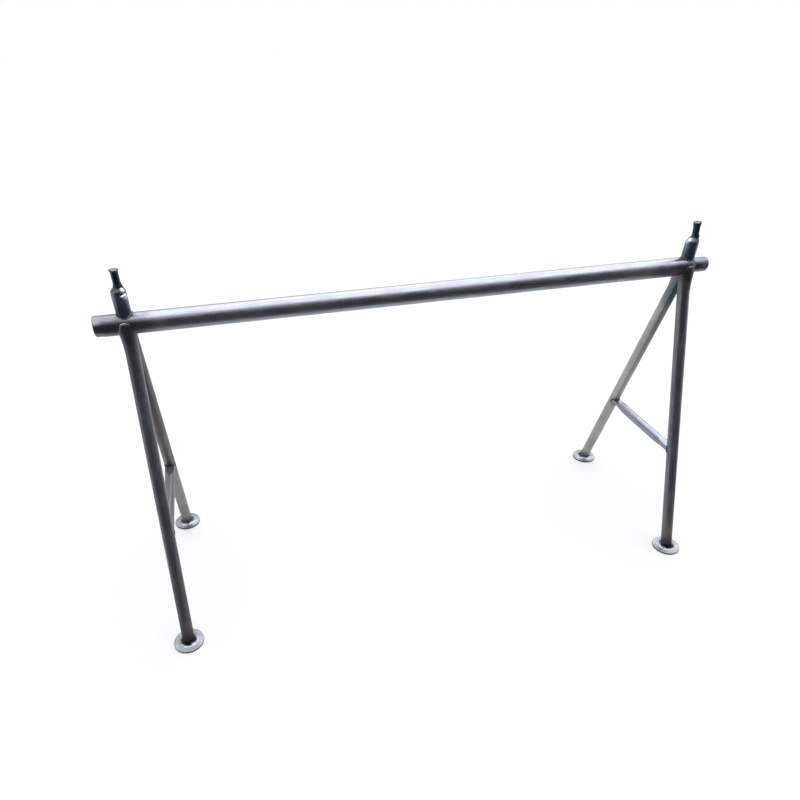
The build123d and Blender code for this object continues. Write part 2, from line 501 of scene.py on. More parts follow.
def beamStations(sink=0):
    endRings, swageRings = beamShape["endRings"], beamShape["swageRings"]
    places = [beamLow.x + beamShape["endZone"] * step / endRings for step in range(endRings + 1)]
    places += [swageStart + beamShape["swage"] * step / swageRings for step in range(swageRings + 1)]
    return [(place - beamLow.x, radiusAt(place) - sink) for place in [*places, beamHigh.x]]


def offAxis(point):  # distance from the beam's axis
    return sqrt(point.y ** 2 + (point.z - beamHeight) ** 2)


def topBeam():
    shape = beamShape
    beam = turnedBody("topBeam", leftEnd, (1, 0, 0), beamStations(), shape["segments"], capped=False)
    useModifier(beam, "SOLIDIFY", thickness=shape["wall"], offset=1.0)
    for back, turn, depth, size in shape["knocks"]:
        outwards = Vector((0, -cos(radians(turn)), sin(radians(turn))))
        knock = leftEnd + Vector((back, 0, 0)) + outwards * beamRadius
        nudge(beam, lambda point: (point - knock).length < shape["knockCore"], -outwards * depth, size)

    def onRim(point, end, radius):  # on the outer edge of an open end
        return abs(point.x - end) < meshLimits["sameRing"] and offAxis(point) > radius - shape["wall"] / 2

    editPoints(beam, lambda point: onRim(point, beamLow.x, beamRadius))
    bpy.ops.mesh.bevel(offset=shape["endRound"], segments=shape["endSteps"])
    editPoints(beam, lambda point: onRim(point, beamHigh.x, spigotRadius))
    bpy.ops.mesh.bevel(offset=shape["spigotRound"], segments=shape["spigotSteps"])
    roundEdges(beam, shape["rim"], 2, shape["rimAngle"])
    tidyMesh(beam)
    marks = []
    for side in sides:
        for across, up, reach, *own in beamLook["marks"][side]:
            marks.append((apexAt[side] + Vector((across * mm, -beamRadius, up * mm)), reach, *own))
    finish = drawnSteel("beamSteel", beamLook, leftEnd, Vector((beamHigh.x, 0, beamHeight)), marks)
    finishPiece(beam, "top_beam", finish)


def fitToBeam(piece, sink, solver="EXACT"):  # cuts away what lies inside the beam and its spigot
    cutter = turnedBody("cutter", leftEnd, (1, 0, 0), beamStations(sink), beamShape["segments"])
    tidyMesh(cutter)
    cutAway(piece, cutter, solver)


topBeam()
print("top beam done")


# Legs

# The legs are one steel: the front legs' dark colours are painted shade, the rear legs' light colours painted
# light
shadedFrontLegLook = {
    "dark": (0.05, 0.053, 0.064),
    "light": (0.111, 0.117, 0.138),
    "patch": (0.09, 0.085, 0.086),
    "bright": (0.30, 0.31, 0.33),
    "burn": (0.02, 0.022, 0.028),
    "dust": (0.075, 0.06, 0.056),
    "patchy": 0.4,
    "burnt": 0.85,
    "dusty": 0.8,
    "dustReach": 0.35,
    "streaks": 110.0,
    "scratched": 0.35,
    "smooth": 0.34,
    "rough": 0.48,
    "metal": 0.85,
}
litRearLegLook = {
    "dark": (0.27, 0.26, 0.26),
    "light": (0.36, 0.347, 0.342),
    "patch": (0.31, 0.293, 0.286),
    "bright": (0.45, 0.44, 0.43),
    "burn": (0.102, 0.1, 0.106),
    "dust": (0.38, 0.363, 0.343),
    "patchy": 0.5,
    "burnt": 0.85,
    "dusty": 0.8,
    "dustReach": 0.4,
    "streaks": 110.0,
    "scratched": 0.35,
    "smooth": 0.4,
    "rough": 0.54,
    "metal": 0.8,
}
litAndShadedLegLooks = {"front": shadedFrontLegLook, "rear": litRearLegLook}
# how light each leg is painted, over its look's painted shade or light
legTone = {("front", "left"): 1.5, ("front", "right"): 1.7, ("rear", "left"): 0.8, ("rear", "right"): 1.15}
legDust = {("front", "right"): (0.12, 0.108, 0.106)}  # the rest have their look's own
legShape = {
    "segments": 72,
    "wall": 2.5 * mm,
    "overrun": 40 * mm,
    "sink": 0.1 * mm,  # how far the coped top goes into the beam's skin
    # the rear legs' wider dark tops are weld heat tint and painted shade under the beam
    "burnReach": {"front": 0.06, "rear": 0.13},
    "footReach": 0.052,
    "braceReach": 0.026,
}
brownTint = (0.142, 0.126, 0.126)
blueTint = (0.15, 0.18, 0.215)
legTints = {  # darker tints down the rear legs' upper parts: how far down the leg, reach and colour
    ("rear", "left"): [(share, 0.16, brownTint) for share in (0.14, 0.27, 0.4, 0.5)],
    ("rear", "right"): [(share, 0.08, blueTint) for share in (0.04, 0.085)],
}


def tintsOn(row, side):
    top, foot = apexAt[side], footAt[row, side]
    stains = legTints.get((row, side), ())
    return [(top + (foot - top) * share, reach, colour) for share, reach, colour in stains]


def bracePoint(row, side):  # where a brace meets a leg's axis
    top, foot = apexAt[side], footAt[row, side]
    height = middle(f"{side}_brace").z
    return top + (foot - top) * ((height - top.z) / (foot.z - top.z))


def legTube(row, side):
    top, foot = apexAt[side], footAt[row, side]
    run = (foot - top).normalized()
    length = (foot - top).length + legShape["overrun"]
    stations = [(0, legRadius), (length, legRadius)]
    leg = turnedBody(f"{row}{side.title()}Leg", top, run, stations, legShape["segments"], capped=False)
    useModifier(leg, "SOLIDIFY", thickness=legShape["wall"], offset=1.0)
    tidyMesh(leg)
    trim(leg, (0, 0, 0), (0, -rows[row], 0))
    trim(leg, foot, (0, 0, -1))
    fitToBeam(leg, legShape["sink"])
    tidyMesh(leg)
    # painted shade on the front legs, painted light on the rear ones
    look = litAndShadedLegLooks[row]
    look = toned({**look, "dust": legDust.get((row, side), look["dust"])}, legTone[row, side])
    inner = bracePoint(row, side) - Vector((0, rows[row] * legRadius, 0))
    marks = [(top, legShape["burnReach"][row]), (foot, legShape["footReach"])]
    marks += [(inner, legShape["braceReach"]), *tintsOn(row, side)]
    finish = drawnSteel(f"{row}{side.title()}LegSteel", look, top, foot, marks)
    finishPiece(leg, f"{row}_{side}_leg", finish)


for row, side in corners:
    legTube(row, side)
print("legs done")


# Braces: round tube with both ends pressed flat

braceLook = {
    "dark": (0.19, 0.205, 0.24),
    "light": (0.25, 0.27, 0.31),
    "patch": (0.22, 0.23, 0.26),
    "bright": (0.36, 0.38, 0.42),
    "burn": (0.09, 0.095, 0.11),
    "patchy": 0.4,
    "burnt": 0.6,
    "streaks": 120.0,
    "scratched": 0.35,
    "smooth": 0.28,
    "rough": 0.42,
}
# the left brace's zinc is painted darker than the right's, as painted shade
braceShadeTone = {"left": 0.4, "right": 1.0}
braceMetal = {"left": 0.4, "right": 0.85}
braceShape = {
    "segments": 64,
    "radius": 14 * mm,
    "flatHeight": {"front": 14 * mm, "rear": 9 * mm},
    "flatWidth": 29.5 * mm,
    "flatRise": 3 * mm,
    "flatLength": 20 * mm,
    "flareLength": 42 * mm,
    "flareRings": 6,
    "notch": 6 * mm,
    "grain": 1.2 * mm,
    "rounds": 6,
    "smoothAngle": 40,
    "sink": 0.5 * mm,  # how far the ends go into the legs' skins
    "burnReach": 0.022,
}


def pressRing(brace, centre, row, share):  # share is 1 where fully pressed and 0 where round
    shape = braceShape
    radius = shape["radius"]
    height = 2 * radius + (shape["flatHeight"][row] - 2 * radius) * share
    width = 2 * radius + (shape["flatWidth"] - 2 * radius) * share
    lift = Vector((0, 0, shape["flatRise"] * share))

    def thisRing(point):
        return abs(point.y - centre.y) < meshLimits["sameRing"]

    editPoints(brace, thisRing)
    bpy.ops.transform.translate(value=lift)
    bpy.ops.transform.resize(value=(width / (2 * radius), 1, 1), center_override=centre + lift)
    for facing in (1, -1):
        flat = centre + lift + Vector((0, 0, facing * height / 2))
        editPoints(brace, lambda point: thisRing(point) and (point.z - flat.z) * facing > 0)
        bpy.ops.transform.resize(value=(1, 1, 0), center_override=flat)


def braceTube(side):
    shape = braceShape
    low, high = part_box(f"{side}_brace")
    start = Vector((middle(f"{side}_brace").x, low.y, low.z + shape["radius"]))
    # distance from each end, and how far it is pressed there
    flat = shape["flatLength"] + shape["notch"]
    pressed = [(0.0, 1.0), (flat, 1.0)]
    for step in range(1, shape["flareRings"] + 1):
        part = step / shape["flareRings"]
        pressed.append((flat + shape["flareLength"] * part, 1 - easing(part)))
    rings = [("front", low.y + back, share) for back, share in pressed]
    rings += [("rear", high.y - back, share) for back, share in reversed(pressed)]
    stations = [(place - low.y, shape["radius"]) for row, place, share in rings]
    brace = turnedBody(f"{side}Brace", start, (0, 1, 0), stations, shape["segments"])
    for row, place, share in rings:
        if share > 0:
            pressRing(brace, Vector((start.x, place, start.z)), row, share)
    tidyMesh(brace)
    evenSkin(brace, shape["grain"], shape["rounds"])
    for row in rows:
        leg = addRod("cutter", apexAt[side], footAt[row, side], legRadius - shape["sink"])
        cutAway(brace, leg, "MANIFOLD")
    tidyMesh(brace, shape["smoothAngle"])
    marks = [(bracePoint(row, side), shape["burnReach"]) for row in rows]
    look = {**toned(braceLook, braceShadeTone[side]), "metal": braceMetal[side]}
    finish = drawnSteel(f"{side}BraceZinc", look, start, Vector((start.x, high.y, start.z)), marks)
    finishPiece(brace, f"{side}_brace", finish)


for side in sides:
    braceTube(side)
print("braces done")


# Posts on the beam, drawn in to a neck, hammered and left with one open fold

postLook = {
    "dark": (0.145, 0.174, 0.224),
    "light": (0.22, 0.26, 0.33),
    "patch": (0.165, 0.19, 0.24),
    "bright": (0.32, 0.355, 0.42),
    "burn": (0.066, 0.086, 0.114),
    "neckBurn": (0.022, 0.027, 0.045),
    # bright bare metal on the hammered bulges, painted as their highlight
    "worn": (0.6, 0.64, 0.7),
    "patchy": 0.5,
    "burnt": 0.7,
    "streaks": 110.0,
    "scratched": 0.35,
    "smooth": 0.26,
    "rough": 0.40,
    "metal": 0.92,
}
# the necks and pins stand a little off true
pinShift = {"left": Vector((2.4, -0.6, 0)) * mm, "right": Vector((3.0, -0.6, 0)) * mm}
postShape = {
    "segments": 72,
    "wall": 2.6 * mm,
    "shoulder": {"left": 15 * mm, "right": 17 * mm},  # height of the drawn-in part
    "shoulderRings": 10,
    "neckRadius": 10.0 * mm,
    "bodyRings": 7,
    "ringGap": 2.4 * mm,
    "boreOver": 2 * mm,  # the bore goes this far into the shoulder
    "sink": 0.2 * mm,
    # a slit, and on one post a scooped side: degrees round from the beam's right end,
    # millimetres over the shoulder, and degrees of tilt
    "slitTurn": {"left": -60, "right": 240},
    "slitRise": {"left": -1.5, "right": 5.5},
    "slitTilt": {"left": 12, "right": 28},
    "slitSize": {"left": (9, 3.8), "right": (14, 0.7)},
    "scoopTurn": {"left": -50},
    "scoopDepth": 2.8,
    "scoopRadius": 5,
    "scoopReach": 30 * mm,
    # bulges round the slit: turn, rise above the shoulder, push outwards and reach
    "bulges": {
        "left": [(-44, 4.0, 3.6, 7.0), (-42, -6.5, 2.8, 6.0)],
        "right": [(194, 6.5, 3.2, 9.0)],
    },
    "bulgeCore": 2.5 * mm,
    "edge": 0.5 * mm,
    "edgeAngle": 28,
    "smoothAngle": 24,
    "burnReach": 0.05,
    "neckReach": 0.03,
    "highlightReach": 0.011,
}


def postTube(side):
    shape = postShape
    low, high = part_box(f"{side}_post")
    radius = (high - low).x / 2
    top = high.z
    foot = apexAt[side]
    drawnIn = shape["shoulder"][side]
    shoulderAt = top - foot.z - drawnIn
    stations = [(0.0, radius), (beamRadius, radius)]
    for step in reversed(range(shape["bodyRings"])):
        stations.append((shoulderAt - shape["ringGap"] * step, radius))
    for step in range(1, shape["shoulderRings"] + 1):
        part = step / shape["shoulderRings"]
        drawn = radius + (shape["neckRadius"] - radius) * easing(part)
        stations.append((shoulderAt + drawnIn * part, drawn))
    post = turnedBody(f"{side}Post", foot, upward, stations, shape["segments"])
    tidyMesh(post)
    nudge(post, lambda point: point.z > top - meshLimits["sameRing"], pinShift[side], drawnIn)

    def outwards(turn):
        return Vector((cos(radians(turn)), sin(radians(turn)), 0))

    def skinPoint(turn, rise, proud=0):  # a point on the post, rise and proud in millimetres
        part = max(0, rise * mm / drawnIn)
        skin = radius + (shape["neckRadius"] - radius) * easing(part)
        return foot + outwards(turn) * (skin + proud * mm) + upward * (shoulderAt + rise * mm)

    for turn, rise, push, reach in shape["bulges"][side]:
        place = skinPoint(turn, rise)
        push = outwards(turn) * push * mm
        nudge(post, lambda point: (point - place).length < shape["bulgeCore"], push, reach * mm)
    boreTop = foot + upward * (shoulderAt + shape["boreOver"])
    cutAway(post, addRod("cutter", foot, boreTop, radius - shape["wall"]))
    rise, tilt = shape["slitRise"][side], radians(shape["slitTilt"][side])
    if side in shape["scoopTurn"]:
        turn = shape["scoopTurn"][side]
        scoop = skinPoint(turn, rise, shape["scoopRadius"] - shape["scoopDepth"])
        across = (upward.cross(outwards(turn)) * cos(tilt) + upward * sin(tilt)) * shape["scoopReach"]
        cutAway(post, addRod("cutter", scoop - across, scoop + across, shape["scoopRadius"] * mm))
    pickNothing()
    place = skinPoint(shape["slitTurn"][side], rise)
    bpy.ops.mesh.primitive_uv_sphere_add(segments=24, ring_count=12, radius=0.5, location=place)
    slit = bpy.context.object
    wide, tall = shape["slitSize"][side]
    slit.scale = (radius, wide * mm, tall * mm)
    around = Matrix.Rotation(radians(shape["slitTurn"][side]), 3, "Z")
    slit.rotation_euler = (around @ Matrix.Rotation(tilt, 3, "X")).to_euler()
    cutAway(post, named("cutter"))
    fitToBeam(post, shape["sink"])
    tidyMesh(post, shape["smoothAngle"])
    roundEdges(post, shape["edge"], 2, shape["edgeAngle"])
    tidyMesh(post, shape["smoothAngle"])
    neck = Vector((foot.x, 0, top)) + pinShift[side]
    marks = [(foot + upward * beamRadius, shape["burnReach"])]
    marks.append((neck, shape["neckReach"], postLook["neckBurn"]))
    finish = drawnSteel(f"{side}PostSteel", postLook, foot, foot + upward, marks)
    for turn, rise, push, reach in shape["bulges"][side]:  # painted highlight: bright bare metal on the hammered bulges
        bulge = skinPoint(turn, rise, push)
        worn = spotMask(finish.node_tree, objectPlace(finish), bulge, shape["highlightReach"])
        overpaint(finish, worn, postLook["worn"])
    finishPiece(post, f"{side}_post", finish)


for side in sides:
    postTube(side)
print("posts done")


# Pins: dark round bar with heads spread by hammering

pinLook = {
    "scale": (0.022, 0.027, 0.058),
    "worn": (0.055, 0.07, 0.115),
    "struck": (0.14, 0.16, 0.2),
    "streaks": 200.0,
    "smooth": 0.3,
    "rough": 0.46,
    "metal": 0.85,
    # the struck crown comes in raggedly between two heights from the top
    "struckGrain": 300.0,
    "struckRagged": 1.2 * mm,
    "struckRange": (-0.6 * mm, 0.4 * mm),
    "relief": 0.25,
    "reliefDepth": 0.3 * mm,
}
pinShape = {
    "segments": 56,
    "shank": 8.5 * mm,
    "headEdge": 1.6 * mm,
    # millimetres under the top, and share of the head's radius
    "crown": [(0.95, 0.99), (0.7, 0.94), (0.25, 0.6), (0, 0.2)],
    "flare": {"left": 7 * mm, "right": 19 * mm},
    "flareRings": 6,
    "lean": {"left": 0, "right": 8},  # degrees towards the left end, about the neck
    "smoothAngle": 50,
}


def pinFinish(name, top):
    look = pinLook
    finish, tree, shader, place = newFinish(name)
    grain = useGroup(tree, grainGroup, {"Vector": place, "Streaks": look["streaks"]})
    colour = mixColour(tree, grain["Streak"], rgba(look["scale"]), rgba(look["worn"]))
    ragged = calc(tree, "MULTIPLY", noise(tree, place, look["struckGrain"]), look["struckRagged"])
    height = calc(tree, "ADD", axisOf(tree, place, "Z"), ragged)
    start, end = look["struckRange"]
    colour = mixColour(tree, ramp(tree, height, top + start, top + end), colour, rgba(look["struck"]))
    rough = ramp(tree, grain["Patch"], 0.0, 1.0, look["smooth"], look["rough"])
    feed(tree, shader, {"Base Color": colour, "Roughness": rough, "Metallic": look["metal"]})
    addBump(tree, shader, grain["Speck"], look["relief"], look["reliefDepth"])
    return finish


def pinBar(side):
    shape = pinShape
    low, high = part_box(f"{side}_pin")
    headRadius = (high - low).x / 2
    seat = Vector((apexAt[side].x, 0, low.z))
    lean = radians(shape["lean"][side])
    length = (high.z - low.z - headRadius * sin(lean)) / cos(lean)
    flareStart = length - shape["headEdge"] - shape["flare"][side]
    stations = [(0.0, shape["shank"]), (flareStart, shape["shank"])]
    for step in range(1, shape["flareRings"] + 1):
        part = step / shape["flareRings"]
        spread = shape["shank"] + (headRadius - shape["shank"]) * part * part
        stations.append((flareStart + shape["flare"][side] * part, spread))
    stations += [(length - down * mm, headRadius * share) for down, share in shape["crown"]]
    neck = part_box(f"{side}_post")[1].z
    seat += pinShift[side] + Vector((sin(lean) * (neck - low.z), 0, 0))
    pin = turnedBody(f"{side}Pin", seat, (-sin(lean), 0, cos(lean)), stations, shape["segments"])
    tidyMesh(pin, shape["smoothAngle"])
    finishPiece(pin, f"{side}_pin", pinFinish(f"{side}PinScale", high.z))


for side in sides:
    pinBar(side)
print("pins done")


# Foot plates

plateLook = {
    "dark": (0.205, 0.22, 0.248),
    "light": (0.235, 0.252, 0.283),
    "patch": (0.165, 0.178, 0.203),
    "bright": (0.32, 0.34, 0.37),
    "burn": (0.06, 0.066, 0.08),
    # the dark rim is painted shade on the plate's side
    "rim": (0.045, 0.048, 0.056),
    "patchy": 0.8,
    "burnt": 0.75,
    "streaks": 160.0,
    "scratched": 0.15,
    "smooth": 0.3,
    "rough": 0.48,
    "metal": 0.8,
}
plateTone = {("rear", "left"): 0.85, ("rear", "right"): 0.95}  # the front ones are as they are
plateShape = {
    "segments": 120,
    "edge": 1.2 * mm,
    "edgeAngle": 60,
    "inside": 0.7 * mm,
    "wobble": 1.1 * mm,
    "wobbleSize": 26 * mm,
    "grainWay": Vector((0.6, 0.4, 0)),
    "burnReach": 0.03,
    "rimRange": (1 * mm, 2 * mm),  # the rim is painted dark, as painted shade on the plate's side, between these depths under the top
}


def footPlate(row, side):
    shape = plateShape
    node = f"{row}_{side}_foot_plate"
    low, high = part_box(node)
    centre = middle(node)
    pickNothing()
    bpy.ops.mesh.primitive_cylinder_add(
        vertices=shape["segments"], radius=footRadius - shape["inside"], depth=high.z - low.z, location=centre
    )
    plate = named(f"{row}{side.title()}FootPlate")
    wavy = cloudTexture("plateWave", shape["wobbleSize"])
    for way in ("X", "Y"):
        displace(plate, wavy, shape["wobble"], way)
    roundEdges(plate, shape["edge"], 3, shape["edgeAngle"])
    tidyMesh(plate)
    foot = footAt[row, side]
    look = toned(plateLook, plateTone.get((row, side), 1.0))
    marks = [(foot, shape["burnReach"])]
    finish = drawnSteel(f"{row}{side.title()}PlateZinc", look, foot, foot + shape["grainWay"], marks)
    height = axisOf(finish.node_tree, objectPlace(finish), "Z")
    light, dark = shape["rimRange"]
    overpaint(finish, ramp(finish.node_tree, height, plateTop - light, plateTop - dark), look["rim"])
    finishPiece(plate, node, finish)


for row, side in corners:
    footPlate(row, side)
print("foot plates done")


# Weld beads

beadShapes = {
    "apex": {"grain": 1.0 * mm, "lump": 0.3 * mm, "ripple": 0.1 * mm, "rounds": 28},
    "post": {"grain": 0.4 * mm, "lump": 1.0 * mm, "ripple": 0.4 * mm, "rounds": 4},
    "pin": {"grain": 0.5 * mm, "lump": 0.4 * mm, "ripple": 0.1 * mm, "rounds": 3},
    "foot": {"grain": 1.0 * mm, "lump": 2.2 * mm, "ripple": 0.3 * mm, "rounds": 2},
    "brace": {"grain": 0.5 * mm, "lump": 1.0 * mm, "ripple": 0.4 * mm, "rounds": 3},
}
beadLooks = {
    "post": {
        "slag": (0.04, 0.042, 0.05),
        "steel": (0.1, 0.105, 0.12),
        "glint": (0.3, 0.32, 0.35),
        "toe": (0.06, 0.063, 0.075),
    },
    "pin": {
        "slag": (0.022, 0.027, 0.045),
        "steel": (0.045, 0.055, 0.085),
        "glint": (0.07, 0.08, 0.11),
        "toe": (0.03, 0.035, 0.05),
    },
    # near black by the leg: dark weld and painted shade in the corner between leg and plate
    "foot": {
        "slag": (0.006, 0.007, 0.01),
        "steel": (0.02, 0.022, 0.028),
        "glint": (0.05, 0.055, 0.065),
        "toe": (0.25, 0.264, 0.29),
    },
    "brace": {
        "slag": (0.025, 0.027, 0.033),
        "steel": (0.07, 0.073, 0.083),
        "glint": (0.2, 0.21, 0.23),
        "toe": (0.07, 0.073, 0.083),
    },
}
beadGrain = {
    "blotches": 110.0,
    "blotchRange": (0.38, 0.62),
    "glints": 210.0,
    "glintRange": (0.6, 0.7),
    "smooth": 0.3,
    "rough": 0.46,
    "metal": 0.9,
    "pits": 600.0,
    "relief": 0.25,
    "reliefDepth": 0.4 * mm,
}
toeShape = {
    "beamRange": (1.3 * mm, 0.7 * mm),  # the toe comes in between these heights over the beam's skin
    "legGrain": 85.0,
    "legRagged": 16 * mm,
    "legRange": (27 * mm, 31 * mm),  # and between these distances from a leg's foot
}


def nearBeam(tree, place):  # 1 on the thin edge that runs out on the beam
    axisPoint = (0, 0, beamHeight)
    off = addNode(tree, "VectorMath", {0: place, 1: axisPoint}, operation="SUBTRACT").outputs["Vector"]
    across = addNode(tree, "VectorMath", {0: off, 1: (0, 1, 1)}, operation="MULTIPLY").outputs["Vector"]
    away = addNode(tree, "VectorMath", {0: across}, operation="LENGTH").outputs["Value"]
    start, end = toeShape["beamRange"]
    return ramp(tree, away, beamRadius + start, beamRadius + end)


def offLeg(tree, place, foot):  # 0 in the ragged dark ring next to a leg, dark weld and painted shade, 1 further out
    away = addNode(tree, "VectorMath", {0: place, 1: foot}, operation="DISTANCE").outputs["Value"]
    ragged = noise(tree, place, toeShape["legGrain"], 3.0, 0.6)
    away = calc(tree, "ADD", away, calc(tree, "MULTIPLY", ragged, toeShape["legRagged"]))
    return ramp(tree, away, *toeShape["legRange"])


def beadFinish(joint, name, side, row):
    look = {**beadGrain, **beadLooks[joint]}
    finish, tree, shader, place = newFinish(name + "Bead")
    blotch = ramp(tree, noise(tree, place, look["blotches"], 4.0, 0.65), *look["blotchRange"])
    glint = ramp(tree, noise(tree, place, look["glints"], 2.0, 0.5), *look["glintRange"])
    colour = mixColour(tree, blotch, rgba(look["slag"]), rgba(look["steel"]))
    colour = mixColour(tree, glint, colour, rgba(look["glint"]))
    edge = offLeg(tree, place, footAt[row, side]) if row else nearBeam(tree, place)
    colour = mixColour(tree, edge, colour, rgba(look["toe"]))
    rough = ramp(tree, blotch, 0.0, 1.0, look["rough"], look["smooth"])
    feed(tree, shader, {"Base Color": colour, "Roughness": rough, "Metallic": look["metal"]})
    addBump(tree, shader, noise(tree, place, look["pits"]), look["relief"], look["reliefDepth"])
    return finish


saddleLook = {
    # painted highlight along the left flank, where it runs out on the beam
    "toe": {"left": (0.24, 0.245, 0.265), "right": (0.14, 0.15, 0.17)},
    "scratched": 0.1,
    "behindRange": (-4 * mm, 8 * mm),  # from the front leg's steel in painted shade to the rear leg's in painted light
    "flankRange": (5 * mm, -5 * mm),  # from the right flank, without the painted highlight, to the left
}


def saddleFinish(side):  # drawn steel as on the legs, with a painted highlight where the left flank runs out
    apex = apexAt[side]
    burnReach = legShape["burnReach"]
    look = {**toned(shadedFrontLegLook, legTone["front", side]), "scratched": saddleLook["scratched"]}
    finish = drawnSteel(f"{side}ApexBead", look, apex, footAt["front", side], [(apex, burnReach["front"])])
    tree, place = finish.node_tree, objectPlace(finish)
    behind = ramp(tree, axisOf(tree, place, "Y"), *saddleLook["behindRange"])
    rear = toned(litRearLegLook, legTone["rear", side])
    overpaint(finish, behind, rear["patch"])
    # behind, the rear legs' heat tint and painted shade under the beam, and their tints
    for spot, reach, colour in [(apex, burnReach["rear"], rear["burn"]), *tintsOn("rear", side)]:
        mask = calc(tree, "MULTIPLY", spotMask(tree, place, spot, reach), rear["burnt"])
        overpaint(finish, calc(tree, "MULTIPLY", mask, behind), colour)
    start, end = saddleLook["flankRange"]
    leftFlank = ramp(tree, axisOf(tree, place, "X"), apex.x + start, apex.x + end)
    edge = calc(tree, "MULTIPLY", nearBeam(tree, place), leftFlank)
    # painted highlight
    overpaint(finish, edge, saddleLook["toe"][side])
    return finish


lumps = cloudTexture("beadLumps", 9 * mm)
ripples = cloudTexture("beadRipples", 3.2 * mm)


def roughen(bead, joint):  # one closed skin, then lumps and ripples
    shape = beadShapes[joint]
    evenSkin(bead, shape["grain"], shape["rounds"])
    displace(bead, lumps, shape["lump"])
    displace(bead, ripples, shape["ripple"])


def finishBead(bead, node, joint, side, row=None):
    pickOnly(bead)
    bpy.ops.object.shade_smooth()
    name = "".join(word.title() for word in node.split("_"))
    bead.name = bead.data.name = name[0].lower() + name[1:]
    finish = saddleFinish(side) if joint == "apex" else beadFinish(joint, bead.name, side, row)
    finishPiece(bead, node, finish)


def joined(bodies):
    pickOnly(bodies[0])
    if len(bodies) > 1:
        for body in bodies[1:]:
            body.select_set(True)
        bpy.ops.object.join()
    return bodies[0]


scrapShare = 0.1  # loose parts with a smaller share of the largest part's points are scraps


def withoutScraps(piece):  # drops the small loose bits that cutting leaves
    editAll(piece)
    bpy.ops.mesh.separate(type="LOOSE")
    bpy.ops.object.mode_set(mode="OBJECT")
    parts = sorted(bpy.context.selected_objects, key=lambda part: -len(part.data.vertices))
    least = scrapShare * len(parts[0].data.vertices)
    kept = [part for part in parts if len(part.data.vertices) > least]
    for part in parts:
        if part not in kept:
            bpy.data.objects.remove(part)
    return joined(kept)


def thread(stops):  # a closed round bead laid through (place, radius) stops
    curve = bpy.data.curves.new("thread", "CURVE")
    curve.dimensions = "3D"
    curve.bevel_depth = 1.0
    curve.bevel_resolution = 4
    line = curve.splines.new("POLY")
    line.points.add(len(stops) - 1)
    line.use_cyclic_u = True
    for point, (place, radius) in zip(line.points, stops):
        point.co = (*place, 1)
        point.radius = radius
    laid = bpy.data.objects.new("thread", curve)
    bpy.context.scene.collection.objects.link(laid)
    pickOnly(laid)
    bpy.ops.object.convert(target="MESH")
    return bpy.context.object


# The brace beads run over each pressed end and back under it, along the leg
braceBeadShape = {"radius": {"front": 2.4 * mm, "rear": 2.1 * mm}, "steps": 16}


def braceBead(row, side):
    steps, radius = braceBeadShape["steps"], braceBeadShape["radius"][row]
    top, foot = apexAt[side], footAt[row, side]
    half = braceShape["flatWidth"] / 2
    lean = abs((foot - top).normalized().z)
    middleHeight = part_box(f"{side}_brace")[0].z + braceShape["radius"] + braceShape["flatRise"]
    stops = []
    for facing in (1, -1):
        level = middleHeight + facing * braceShape["flatHeight"][row] / 2
        centre = top + (foot - top) * ((level - top.z) / (foot.z - top.z))
        for step in range(steps + 1):
            across = facing * half * (2 * step / steps - 1)
            back = sqrt(legRadius ** 2 - across ** 2) / lean
            stops.append((Vector((centre.x + across, centre.y - rows[row] * back, level)), radius))
    bead = thread(stops)
    roughen(bead, "brace")
    finishBead(bead, f"{row}_{side}_brace_weld", "brace", side)


# The pin's bead is a cone that carries the neck on into the pin
pinBeadShape = {
    "segments": 48,
    # height over the neck's rim, and radius there
    "steps": [(-5, 10.6), (-2, 10.5), (0, 10.1), (1.5, 9.5), (3.5, 8.9), (6, 8.2)],
}


def pinBead(side):
    neck = Vector((apexAt[side].x, 0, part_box(f"{side}_post")[1].z)) + pinShift[side]
    lean = radians(pinShape["lean"][side])
    stations = [(up * mm, radius * mm) for up, radius in pinBeadShape["steps"]]
    bead = turnedBody("cone", neck, (-sin(lean), 0, cos(lean)), stations, pinBeadShape["segments"])
    roughen(bead, "pin")
    finishBead(bead, f"{side}_pin_weld", "pin", side)


# The saddle under the beam: the corner between beam and legs filled out,
# and a tongue lapped up each side of the beam
saddleShape = {
    "segments": 72,
    "under": 0.3 * mm,  # it runs out this far under the skins of beam and legs
    "half": 42 * mm,
    "reach": 76 * mm,
    # the tongue's distances down the leg, and its thickness on the leg there
    "downs": (-16, 0, 10, 20, 30, 42, 56, 72),
    "thick": {
        "left": (4.0, 5.0, 5.5, 3.2, 1.6, 0.5, 0.0, -0.6),
        "right": (3.0, 3.6, 4.2, 3.0, 1.9, 0.9, 0.2, -0.6),
    },
    "out": 7 * mm,
    "shift": {"left": -1.5 * mm, "right": 0},
    "archTop": {"left": 9 * mm, "right": 5 * mm},  # how far the tongue reaches over the beam's axis
    "archOver": 0.3 * mm,  # how much wider the arch is than the tongue's top
    "archBlock": (0.12, 0.2, 0.08),
    "past": 1.1,  # the legs' cutters run past the ends of the cores
}


def archTop(centre, radius):  # all that lies above a round arch as seen from the front
    pickNothing()
    wide, deep, high = saddleShape["archBlock"]
    bpy.ops.mesh.primitive_cube_add(size=1, location=centre + upward * high / 2)
    bpy.context.object.scale = (wide, deep, high)
    block = named("cutter")
    back = Vector((0, deep, 0))
    cutAway(block, addRod("arch", centre - back, centre + back, radius))
    return block


